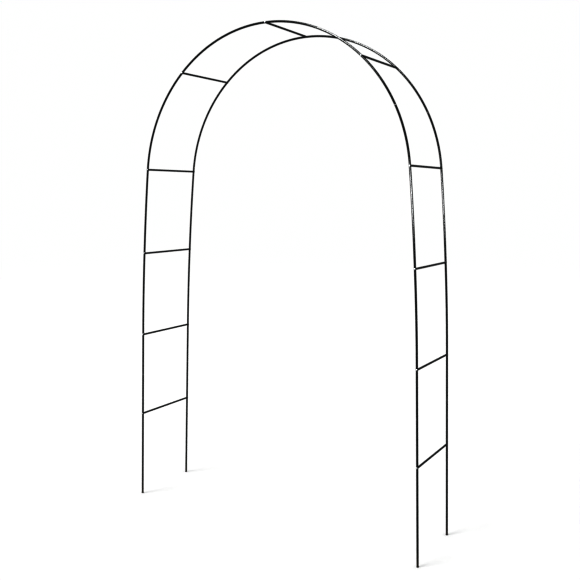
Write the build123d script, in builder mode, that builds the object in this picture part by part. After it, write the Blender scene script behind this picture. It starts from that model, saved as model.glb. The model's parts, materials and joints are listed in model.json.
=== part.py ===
"""Garden trellis arch: eleven H-shaped frames of thin steel tube, plugged end to end.

Each frame is two tube sections, front and rear, held apart by one straight rung. A screw goes
through each tube section into a threaded insert in the rung's end. Five frames make each side,
from the ground up: foot, lower, middle, upper and shoulder. The crown frame closes the top.
The upper end of every side frame is drawn down to a spigot, which the next frame's plain tube
end slides over. X is the width, Y the depth (front is -Y) and Z is up, with the ground at Z = 0.
"""

from build123d import *
from math import cos, degrees, radians, sin
import os

os.makedirs("parts", exist_ok=True)

# The arch's line, in millimetres and degrees
overall_height = 2400.0
frame_depth = 375.0  # between the centre lines of the front and rear tubes
arch_radius = 720.0  # centre line of the round top
springing_lean = 5.4  # lean of the tube where the round top meets the leg
leg_lean = 1.75  # lean of the straight bottom of the leg
rung_pitch = 432.0  # between rungs, along the leg
drilled_length = 48.0  # straight length of leg around a screw hole

# Tube sections
tube_diameter = 9.5
tube_wall = 0.6
spigot_length = 32.0
spigot_clearance = 0.05  # radial gap between a spigot and the tube around it
neck_length = 4.0  # cone between the full tube and its spigot
neck_overlap = 0.2  # how much of the cone's thin end lies inside the next tube

# Rungs and their threaded inserts
rung_diameter = 9.0
rung_wall = 0.6
cope_clearance = 0.05  # gap between a rung's fish-mouth end and the tube it meets
insert_length = 12.0
insert_recess = 1.2  # from the tube's wall to the insert's outer face
insert_clearance = 0.02
thread_diameter = 4.0

# Screws: pan head, cross recess
screw_diameter = 3.9
screw_length = 20.0
screw_hole_diameter = 4.3
head_diameter = 7.6
head_height = 2.7
head_rim = 1.0  # straight edge of the head, below its dome
recess_width = 0.9
recess_length = 4.2
recess_depth = 1.6
recess_taper = 8.0

# Foot caps: a ribbed plug with a head, trimmed level with the ground
cap_diameter = 11.0
cap_thickness = 3.2
cap_edge = 0.9  # rounding of the head's edges
plug_length = 14.0
plug_clearance = 0.35
rib_count = 3
rib_height = 1.0
rib_spacing = 3.5
rib_clearance = 0.02

# Sizes that follow from the ones above
tube_radius = tube_diameter / 2
bore_radius = tube_radius - tube_wall
spigot_radius = bore_radius - spigot_clearance
spigot_bore_radius = spigot_radius - tube_wall
rung_radius = rung_diameter / 2
rung_bore_radius = rung_radius - rung_wall
half_depth = frame_depth / 2
bend_length = rung_pitch - drilled_length
bend_radius = 2 * bend_length / radians(springing_lean - leg_lean)
arch_length = arch_radius * radians(90.0 - springing_lean)  # from the springing to the apex

# A station is a distance along the centre line from the apex, negative down the right side.
levels = ("foot", "lower", "middle", "upper", "shoulder")
rung_stations = [-arch_length - rung_pitch * step for step in (3, 2, 1, 0)]
rung_stations += [-arch_length / 2, 0.0]
seam_stations = [
    (low + high) / 2 for low, high in zip(rung_stations, rung_stations[1:])
]


def follow(x, z, lean, distance, radius):
    """Where a distance along a straight or round stretch leads: the point and the lean there."""
    if radius is None:
        return x - distance * sin(lean), z + distance * cos(lean), lean
    end = lean + distance / radius
    return x - radius * (cos(lean) - cos(end)), z + radius * (sin(end) - sin(lean)), end


def centre_line():
    """The stretches from the round top down to the ground: (low, high, x, z, lean, radius).

    Low and high are end stations, and the point and lean are those of the low end. The leg
    bends gently between its second and third rungs, and again between its third and fourth.
    """
    lean = radians(springing_lean)
    x = arch_radius * cos(lean)
    z = overall_height - tube_radius - arch_radius * (1 - sin(lean))
    found = [(-arch_length, arch_length, x, z, lean, arch_radius)]
    bent_leg = (
        (drilled_length / 2, None),
        (bend_length, bend_radius),
        (drilled_length, None),
        (bend_length, bend_radius),
    )
    for length, radius in bent_leg:
        high = found[-1][0]
        x, z, lean = follow(x, z, lean, -length, radius)
        found.append((high - length, high, x, z, lean, radius))
    high = found[-1][0]
    length = z / cos(lean)
    found.append((high - length, high, *follow(x, z, lean, -length, None), None))
    return found


line = centre_line()
ground_station = line[-1][0]


def frame_at(station, depth):
    """The plane square to the tube at a station, with the tube's upward direction as its Z."""
    stretch = next((found for found in line if found[0] <= station), line[-1])
    low, _, x, z, lean, radius = stretch
    x, z, lean = follow(x, z, lean, station - low, radius)
    return Plane(origin=(x, depth, z), x_dir=(0, 1, 0), z_dir=(-sin(lean), 0, cos(lean)))


def stretches(bottom, top):
    """The straight and round stretches between two stations: (start, end, centre, radius)."""
    for low, high, x, z, lean, radius in reversed(line):
        if bottom < high and top > low:
            centre = None
            if radius is not None:
                centre = (x - radius * cos(lean), z - radius * sin(lean))
            yield max(bottom, low), min(top, high), centre, radius


def tube_section(low, high, rung_station, depth, has_spigot):
    """A hollow tube between two stations, with a screw hole and maybe a spigot on top."""
    neck_top = high + neck_overlap
    neck_foot = neck_top - neck_length
    tip = neck_top + spigot_length
    body_end = neck_foot if has_spigot else high
    lengths = [(low, body_end, tube_radius, bore_radius)]
    if has_spigot:
        lengths.append((neck_top, tip, spigot_radius, spigot_bore_radius))
    with BuildPart() as tube:
        for bottom, top, outer, bore in lengths:
            for start, end, centre, radius in stretches(bottom, top):
                with BuildSketch(frame_at(start, depth)):
                    Circle(outer)
                    Circle(bore, mode=Mode.SUBTRACT)
                if centre is None:
                    extrude(amount=end - start)
                else:
                    turn_axis = Axis((centre[0], depth, centre[1]), (0, -1, 0))
                    revolve(axis=turn_axis, revolution_arc=degrees((end - start) / radius))
        if has_spigot:
            with BuildSketch(frame_at(neck_foot, depth)):
                Circle(tube_radius)
            with BuildSketch(frame_at(neck_top, depth)):
                Circle(spigot_radius)
            loft()
            with BuildSketch(frame_at(neck_foot, depth)):
                Circle(bore_radius)
            with BuildSketch(frame_at(neck_top, depth)):
                Circle(spigot_bore_radius)
            loft(mode=Mode.SUBTRACT)
        hole_centre = frame_at(rung_station, depth).origin
        with BuildSketch(Plane(origin=hole_centre, x_dir=(1, 0, 0), z_dir=(0, 1, 0))):
            Circle(screw_hole_diameter / 2)
        extrude(amount=tube_diameter, both=True, mode=Mode.SUBTRACT)
    return tube


def across(station, depth):
    """The plane facing forward (-Y) at a station, with the tube's upward direction as its Y."""
    tube_frame = frame_at(station, depth)
    x_dir = Vector(0, -1, 0).cross(tube_frame.z_dir) * -1
    return Plane(origin=tube_frame.origin, x_dir=x_dir, z_dir=(0, -1, 0))


def rung(station):
    """A straight hollow tube from front to rear, each end cut to sit against a round tube."""
    with BuildPart() as bar:
        with BuildSketch(across(station, 0)):
            Circle(rung_radius)
            Circle(rung_bore_radius, mode=Mode.SUBTRACT)
        extrude(amount=half_depth, both=True)
        for depth in (-half_depth, half_depth):
            with BuildSketch(frame_at(station, depth)):
                Circle(tube_radius + cope_clearance)
            extrude(amount=rung_diameter, both=True, mode=Mode.SUBTRACT)
    return bar


def rung_inserts(station):
    """The two threaded plugs fixed inside a rung's ends."""
    outer_face = half_depth - tube_radius - insert_recess
    with BuildPart() as inserts:
        with BuildSketch(across(station, -outer_face)):
            Circle(rung_bore_radius - insert_clearance)
            Circle(thread_diameter / 2, mode=Mode.SUBTRACT)
        extrude(amount=-insert_length)
        mirror(about=Plane.XZ)
    return inserts


def rung_screws(station):
    """The two screws of a rung, one through the front tube and one through the rear tube."""
    seat = across(station, -half_depth - tube_radius)
    side_view = Plane(origin=seat.origin, x_dir=seat.x_dir, z_dir=seat.y_dir)
    screw_radius = screw_diameter / 2
    head_radius = head_diameter / 2
    with BuildPart() as screws:
        # the profile is drawn with local X across the screw and local -Y out of its head
        with BuildSketch(side_view):
            with BuildLine():
                Polyline(
                    (0, -head_height),
                    (0, screw_length),
                    (screw_radius * 0.5, screw_length),
                    (screw_radius, screw_length - screw_radius),
                    (screw_radius, 0),
                    (head_radius, 0),
                    (head_radius, -head_rim),
                )
                RadiusArc((head_radius, -head_rim), (0, -head_height), head_radius * 1.35)
            make_face()
        revolve(axis=Axis(seat.origin, seat.z_dir))
        with BuildSketch(seat.offset(head_height)):
            Rectangle(recess_length, recess_width)
            Rectangle(recess_width, recess_length)
        extrude(amount=-recess_depth, taper=recess_taper, mode=Mode.SUBTRACT)
        mirror(about=Plane.XZ)
    return screws


def foot_cap(depth):
    """The plastic plug in the bottom end of a leg."""
    plug_radius = bore_radius - plug_clearance
    rib_radius = bore_radius - rib_clearance
    with BuildPart() as cap:
        with BuildSketch(frame_at(ground_station - cap_thickness, depth)):
            Circle(cap_diameter / 2)
        extrude(amount=2 * cap_thickness)
        split(bisect_by=Plane.XY, keep=Keep.TOP)
        fillet(cap.edges().filter_by(GeomType.LINE, reverse=True), cap_edge)
        plug_foot = ground_station + cap_thickness
        with BuildSketch(frame_at(plug_foot, depth)):
            Circle(plug_radius)
        extrude(amount=plug_length)
        for rib in range(rib_count):
            with BuildSketch(frame_at(plug_foot + rib_spacing * (rib + 0.5), depth)):
                Circle(rib_radius)
            extrude(amount=rib_height)
        chamfer(cap.edges().group_by(Axis.Z)[-1], tube_wall)
    return cap


def save(piece, name):
    """Writes one piece to its own file."""
    piece.part.label = name
    export_step(piece.part, f"parts/{name}.step")


def save_both_sides(piece, name):
    """Writes a piece of the right half, and its mirror image in the left half."""
    save(piece, f"right_{name}")
    with BuildPart() as mirrored:
        mirror(piece.part, about=Plane.YZ)
    save(mirrored, f"left_{name}")


faces = {"front": -half_depth, "rear": half_depth}

# The five frames of each side
frame_bottom = ground_station + cap_thickness
for level, seam, station in zip(levels, seam_stations, rung_stations):
    for face, depth in faces.items():
        section = tube_section(frame_bottom, seam, station, depth, has_spigot=True)
        save_both_sides(section, f"{level}_tube_{face}")
    save_both_sides(rung(station), f"{level}_rung")
    save_both_sides(rung_inserts(station), f"{level}_inserts")
    save_both_sides(rung_screws(station), f"{level}_screws")
    frame_bottom = seam

# The crown frame, with a plain tube end on both sides
apex = rung_stations[-1]
for face, depth in faces.items():
    section = tube_section(frame_bottom, -frame_bottom, apex, depth, has_spigot=False)
    save(section, f"crown_tube_{face}")
save(rung(apex), "crown_rung")
save(rung_inserts(apex), "crown_inserts")
save(rung_screws(apex), "crown_screws")

for face, depth in faces.items():
    save_both_sides(foot_cap(depth), f"foot_cap_{face}")
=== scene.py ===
import json
from math import radians

import bpy
from mathutils import Matrix, Quaternion, Vector


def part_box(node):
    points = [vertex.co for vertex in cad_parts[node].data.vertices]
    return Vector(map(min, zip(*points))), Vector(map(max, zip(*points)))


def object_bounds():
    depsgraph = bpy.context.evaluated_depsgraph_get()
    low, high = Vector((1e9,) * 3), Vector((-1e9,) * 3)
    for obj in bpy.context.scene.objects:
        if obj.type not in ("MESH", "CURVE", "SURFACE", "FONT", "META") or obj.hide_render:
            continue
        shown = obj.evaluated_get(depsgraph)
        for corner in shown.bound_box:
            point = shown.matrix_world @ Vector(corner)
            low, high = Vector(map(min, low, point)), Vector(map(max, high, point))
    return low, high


# Garden trellis arch: coated steel frames, zinc plated screws and inserts, and plastic foot caps.
# All the shapes are CAD nodes. This script gives them their materials, the floor, light and camera.

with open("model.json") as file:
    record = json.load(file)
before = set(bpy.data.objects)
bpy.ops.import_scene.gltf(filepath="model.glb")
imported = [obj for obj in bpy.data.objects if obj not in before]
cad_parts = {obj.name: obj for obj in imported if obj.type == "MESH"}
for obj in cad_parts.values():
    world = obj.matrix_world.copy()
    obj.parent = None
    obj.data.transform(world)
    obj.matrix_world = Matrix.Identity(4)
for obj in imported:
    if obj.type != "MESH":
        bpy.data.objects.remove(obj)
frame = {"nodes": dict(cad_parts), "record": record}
cad_low, cad_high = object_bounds()

arch_centre = (cad_low + cad_high) / 2

# Heights of the tube sections' lower ends, where the coat is rubbed
tube_sections = [name for name in frame["nodes"] if "_tube_" in name]
section_feet = sorted({round(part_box(name)[0].z, 3) for name in tube_sections})

# How far the wear and dirt reach, in metres
rub_length = 0.010  # each way from a section's lower end
dust_reach = 0.13  # up from the ground on the coat, at its highest
soil_reach = 0.004  # up from the ground on the caps

# ---------------------------------------------------------------- node helpers


class Shader:
    """A new node material, with short ways to add and join nodes."""

    def __init__(self, name):
        self.material = bpy.data.materials.new(name)
        self.material.use_nodes = True
        self.nodes = self.material.node_tree.nodes
        self.links = self.material.node_tree.links
        self.surface = self.nodes["Principled BSDF"]
        self.place = self.add("ShaderNodeTexCoord").outputs["Object"]

    def add(self, kind, **settings):
        node = self.nodes.new(kind)
        for name, value in settings.items():
            setattr(node, name, value)
        return node

    def connect(self, source, target):
        """Sets a socket to a value, or links it to another node's socket."""
        if isinstance(source, bpy.types.NodeSocket):
            self.links.new(source, target)
        else:
            target.default_value = source

    def noise(self, scale, detail=4.0, roughness=0.55, stretch=(1, 1, 1)):
        """Noise from 0 to 1 in the object's own space. Scale is in features per metre."""
        mapping = self.add("ShaderNodeMapping")
        mapping.inputs["Scale"].default_value = stretch
        self.connect(self.place, mapping.inputs["Vector"])
        noise = self.add("ShaderNodeTexNoise")
        noise.inputs["Scale"].default_value = scale
        noise.inputs["Detail"].default_value = detail
        noise.inputs["Roughness"].default_value = roughness
        self.connect(mapping.outputs["Vector"], noise.inputs["Vector"])
        return noise.outputs["Fac"]

    def ramp(self, factor, low, high, start=0.0, end=1.0):
        """A smooth change from low to high as the factor goes from start to end."""
        node = self.add("ShaderNodeMapRange", interpolation_type="SMOOTHSTEP")
        self.connect(factor, node.inputs["Value"])
        node.inputs["From Min"].default_value = start
        node.inputs["From Max"].default_value = end
        node.inputs["To Min"].default_value = low
        node.inputs["To Max"].default_value = high
        return node.outputs["Result"]

    def math(self, operation, *values):
        node = self.add("ShaderNodeMath", operation=operation)
        for value, target in zip(values, node.inputs):
            self.connect(value, target)
        return node.outputs["Value"]

    def blend(self, factor, first, second):
        """The first colour or number where the factor is 0, and the second where it is 1."""
        node = self.add("ShaderNodeMix", data_type="RGBA")
        self.connect(factor, node.inputs["Factor"])
        self.connect(first, node.inputs["A"])
        self.connect(second, node.inputs["B"])
        return node.outputs["Result"]

    def height(self):
        """Height above the ground, in metres."""
        split = self.add("ShaderNodeSeparateXYZ")
        self.connect(self.place, split.inputs["Vector"])
        return split.outputs["Z"]

    def bump(self, height, distance, strength=1.0, under=None):
        node = self.add("ShaderNodeBump")
        node.inputs["Distance"].default_value = distance
        node.inputs["Strength"].default_value = strength
        self.connect(height, node.inputs["Height"])
        if under is not None:
            self.connect(under, node.inputs["Normal"])
        return node.outputs["Normal"]

    def finish(self, **sockets):
        """Sets the surface's sockets, with spaces in their names written as underscores."""
        for name, value in sockets.items():
            self.connect(value, self.surface.inputs[name.replace("_", " ")])
        return self.material


# ---------------------------------------------------------------- materials


def rubbed_ends(shader):
    """From 0 to 1, where a tube's coat is scratched as its end is pushed over a spigot or cap."""
    height = shader.height()
    near = 0.0
    for foot in section_feet:
        gap = shader.math("ABSOLUTE", shader.math("SUBTRACT", height, foot))
        near = shader.math("MAXIMUM", near, shader.ramp(gap, 1.0, 0.0, 0.001, rub_length))
    scratches = shader.noise(800.0, detail=6.0, stretch=(1, 1, 0.2))
    return shader.math("MULTIPLY", near, shader.ramp(scratches, 0.0, 1.0, 0.54, 0.64))


def powder_coat():
    """Glossy black powder coat on steel, with orange peel, chips, rubbed ends and dusty feet."""
    shader = Shader("black_powder_coat")
    patches = shader.ramp(shader.noise(9.0), 0.0, 1.0, 0.3, 0.7)
    mottle = shader.ramp(shader.noise(160.0, detail=3.0), 0.0, 0.35, 0.45, 0.75)
    black = shader.blend(patches, (0.0070, 0.0115, 0.0112, 1), (0.0125, 0.0180, 0.0178, 1))
    black = shader.blend(mottle, black, (0.021, 0.027, 0.0265, 1))

    streaks = shader.noise(420.0, detail=6.0, stretch=(1, 1, 0.15))
    scuffs = shader.ramp(streaks, 0.0, 1.0, 0.66, 0.72)
    faint_scuffs = shader.math("MULTIPLY", scuffs, 0.4)
    black = shader.blend(faint_scuffs, black, (0.035, 0.037, 0.036, 1))
    chips = shader.ramp(shader.noise(310.0, detail=5.0), 0.0, 1.0, 0.735, 0.745)
    rubbed = shader.math("MULTIPLY", rubbed_ends(shader), 0.7)
    bare = shader.math("MAXIMUM", chips, rubbed)
    colour = shader.blend(bare, black, (0.30, 0.29, 0.28, 1))

    unevenness = shader.math("MULTIPLY", shader.noise(38.0), 0.06)
    patchy_height = shader.math("ADD", shader.height(), unevenness)
    dust = shader.math(
        "MULTIPLY",
        shader.ramp(patchy_height, 0.6, 0.0, 0.02, dust_reach),
        shader.ramp(shader.noise(240.0), 0.3, 1.0, 0.3, 0.7),
    )
    colour = shader.blend(dust, colour, (0.095, 0.076, 0.054, 1))

    roughness = shader.ramp(patches, 0.17, 0.22)
    roughness = shader.math("ADD", roughness, shader.math("MULTIPLY", scuffs, 0.16))
    roughness = shader.math("ADD", roughness, shader.math("MULTIPLY", dust, 0.5))
    peel = shader.bump(shader.noise(650.0, detail=1.0), 0.00005, 0.2)
    grain = shader.bump(shader.noise(2600.0, detail=2.0), 0.00002, 0.15, under=peel)
    return shader.finish(
        Base_Color=colour,
        Roughness=roughness,
        Metallic=shader.math("MULTIPLY", bare, 0.9),
        Normal=grain,
        Specular_IOR_Level=0.45,
    )


def zinc_plate(name, dull):
    """Zinc plated steel, faintly brushed, with pale clouds. Dull is its lowest roughness."""
    shader = Shader(name)
    clouds = shader.ramp(shader.noise(700.0, detail=5.0), 0.0, 1.0, 0.35, 0.65)
    brushed = shader.noise(5200.0, detail=2.0, stretch=(1, 0.06, 1))
    colour = shader.blend(clouds, (0.62, 0.64, 0.66, 1), (0.80, 0.81, 0.82, 1))
    dark_lines = shader.ramp(brushed, 0.0, 0.3, 0.5, 0.8)
    colour = shader.blend(dark_lines, colour, (0.40, 0.41, 0.43, 1))
    return shader.finish(
        Base_Color=colour,
        Roughness=shader.ramp(clouds, dull, dull + 0.15),
        Metallic=0.7,
        Normal=shader.bump(brushed, 0.00002, 0.4),
    )


def moulded_plastic():
    """Black moulded plastic with a fine spark-eroded grain, scratched, and muddy underneath."""
    shader = Shader("black_moulded_plastic")
    grain = shader.noise(2200.0, detail=3.0)
    streaks = shader.noise(900.0, detail=6.0, stretch=(1, 0.2, 1))
    scratches = shader.ramp(streaks, 0.0, 0.5, 0.62, 0.70)
    colour = shader.blend(grain, (0.009, 0.009, 0.010, 1), (0.022, 0.022, 0.023, 1))
    colour = shader.blend(scratches, colour, (0.07, 0.07, 0.068, 1))
    soil = shader.math(
        "MULTIPLY",
        shader.ramp(shader.height(), 0.75, 0.15, 0.0, soil_reach),
        shader.ramp(shader.noise(520.0), 0.0, 1.0, 0.4, 0.6),
    )
    colour = shader.blend(soil, colour, (0.090, 0.070, 0.048, 1))
    roughness = shader.ramp(grain, 0.42, 0.58)
    roughness = shader.math("ADD", roughness, shader.math("MULTIPLY", soil, 0.3))
    return shader.finish(
        Base_Color=colour,
        Roughness=roughness,
        Normal=shader.bump(grain, 0.00004, 0.5),
        Specular_IOR_Level=0.45,
    )


finishes = {
    "tubes": powder_coat(),
    "zinc_screws": zinc_plate("bright_zinc_plate", 0.26),
    "steel_inserts": zinc_plate("plain_zinc_plate", 0.34),
    "foot_caps": moulded_plastic(),
}
finishes["rungs"] = finishes["tubes"]

for part in frame["record"]["subparts"]:
    node = frame["nodes"][part["node"]]
    for slot in node.material_slots:
        slot.material = finishes[part["material_slot"]]

# ---------------------------------------------------------------- floor, light and camera


def plain_floor(radius):
    """A pale floor whose far edge fades away, so that it meets the background without a line."""
    bpy.ops.mesh.primitive_circle_add(vertices=96, radius=radius, fill_type="NGON")
    floor = bpy.context.object
    floor.name = "floor"
    shader = Shader("pale_floor")
    colour = shader.blend(shader.noise(3.0), (0.74, 0.74, 0.74, 1), (0.76, 0.76, 0.758, 1))
    shader.finish(Base_Color=colour, Roughness=0.9, Specular_IOR_Level=0.0)
    distance = shader.add("ShaderNodeVectorMath", operation="LENGTH")
    shader.connect(shader.place, distance.inputs[0])
    fade = shader.ramp(distance.outputs["Value"], 0.0, 1.0, 0.35 * radius, 0.95 * radius)
    clear = shader.add("ShaderNodeBsdfTransparent")
    mixed = shader.add("ShaderNodeMixShader")
    shader.connect(fade, mixed.inputs["Fac"])
    shader.links.new(shader.surface.outputs["BSDF"], mixed.inputs[1])
    shader.links.new(clear.outputs["BSDF"], mixed.inputs[2])
    shader.links.new(mixed.outputs["Shader"], shader.nodes["Material Output"].inputs["Surface"])
    floor.data.materials.append(shader.material)
    floor.visible_glossy = False


def studio_world(backdrop, mirrored):
    """A white backdrop that lights the floor evenly, and that glossy surfaces see as a dim room."""
    world = bpy.data.worlds.new("studio")
    world.use_nodes = True
    nodes = world.node_tree.nodes
    links = world.node_tree.links
    background = nodes["Background"]
    background.inputs["Color"].default_value = (1, 1, 1, 1)
    seen = nodes.new("ShaderNodeLightPath")
    level = nodes.new("ShaderNodeMapRange")
    level.inputs["To Min"].default_value = backdrop
    level.inputs["To Max"].default_value = mirrored
    links.new(seen.outputs["Is Glossy Ray"], level.inputs["Value"])
    links.new(level.outputs["Result"], background.inputs["Strength"])
    bpy.context.scene.world = world


def place_light(light, position, target):
    """Puts a light at a position, facing its target."""
    holder = bpy.data.objects.new(light.name, light)
    holder.location = position
    holder.rotation_mode = "QUATERNION"
    holder.rotation_quaternion = (Vector(target) - Vector(position)).to_track_quat("-Z", "Y")
    holder.visible_camera = False
    bpy.context.scene.collection.objects.link(holder)
    return holder


def soft_sun(position, target, strength, spread):
    """An even light from one side, wide enough to give soft shadows. Spread is in degrees."""
    light = bpy.data.lights.new("soft_sun", "SUN")
    light.energy = strength
    light.angle = radians(spread)
    place_light(light, position, target).visible_glossy = False


def reflected_panel(name, position, target, size, power, spread, turn=0.0):
    """A panel that only shows as a reflection, to surfaces within a cone in front of it.

    Size is its width and height in metres, and power is in watts. Spread is the cone's full
    angle and turn is about the panel's own axis, both in degrees.
    """
    light = bpy.data.lights.new(name, "AREA")
    light.shape = "RECTANGLE"
    light.size, light.size_y = size
    light.energy = power
    light.spread = radians(spread)
    panel = place_light(light, position, target)
    panel.rotation_quaternion @= Quaternion((0, 0, 1), radians(turn))
    panel.visible_diffuse = False


def studio_camera(position, yaw, pitch, roll, lens):
    """A camera turned by yaw about Z, then tilted up by pitch and rolled, all in degrees."""
    data = bpy.data.cameras.new("camera")
    data.lens = lens
    data.sensor_width = 36.0
    data.clip_start = 0.05
    data.clip_end = 100.0
    camera = bpy.data.objects.new("camera", data)
    turned = Matrix.Rotation(radians(yaw), 4, "Z")
    tilted = Matrix.Rotation(radians(90.0 + pitch), 4, "X")
    rolled = Matrix.Rotation(radians(roll), 4, "Z")
    camera.matrix_world = Matrix.Translation(position) @ turned @ tilted @ rolled
    bpy.context.scene.collection.objects.link(camera)
    bpy.context.scene.camera = camera


plain_floor(radius=16.0)
studio_world(backdrop=1.0, mirrored=0.35)
soft_sun((-2.0, -3.0, 5.0), arch_centre, strength=1.7, spread=25.0)
reflected_panel(
    "leg_panel",
    position=(0.95, -1.15, 1.66),
    target=(0.76, 0, 1.62),
    size=(1.6, 0.3),
    power=12.0,
    spread=70.0,
)
reflected_panel(
    "crown_panel",
    position=(-0.25, -2.45, 4.6),
    target=(0.42, -0.1, 2.28),
    size=(0.9, 3.0),
    power=450.0,
    spread=180.0,
    turn=4.0,
)
studio_camera(position=(1.950, -3.192, 1.625), yaw=31.11, pitch=-7.21, roll=0.25, lens=47.3)

# A tube only a pixel or two wide blends with the white behind it. A gamma under 1 keeps it dark.
bpy.context.scene.view_settings.view_transform = "Standard"
bpy.context.scene.view_settings.gamma = 0.48
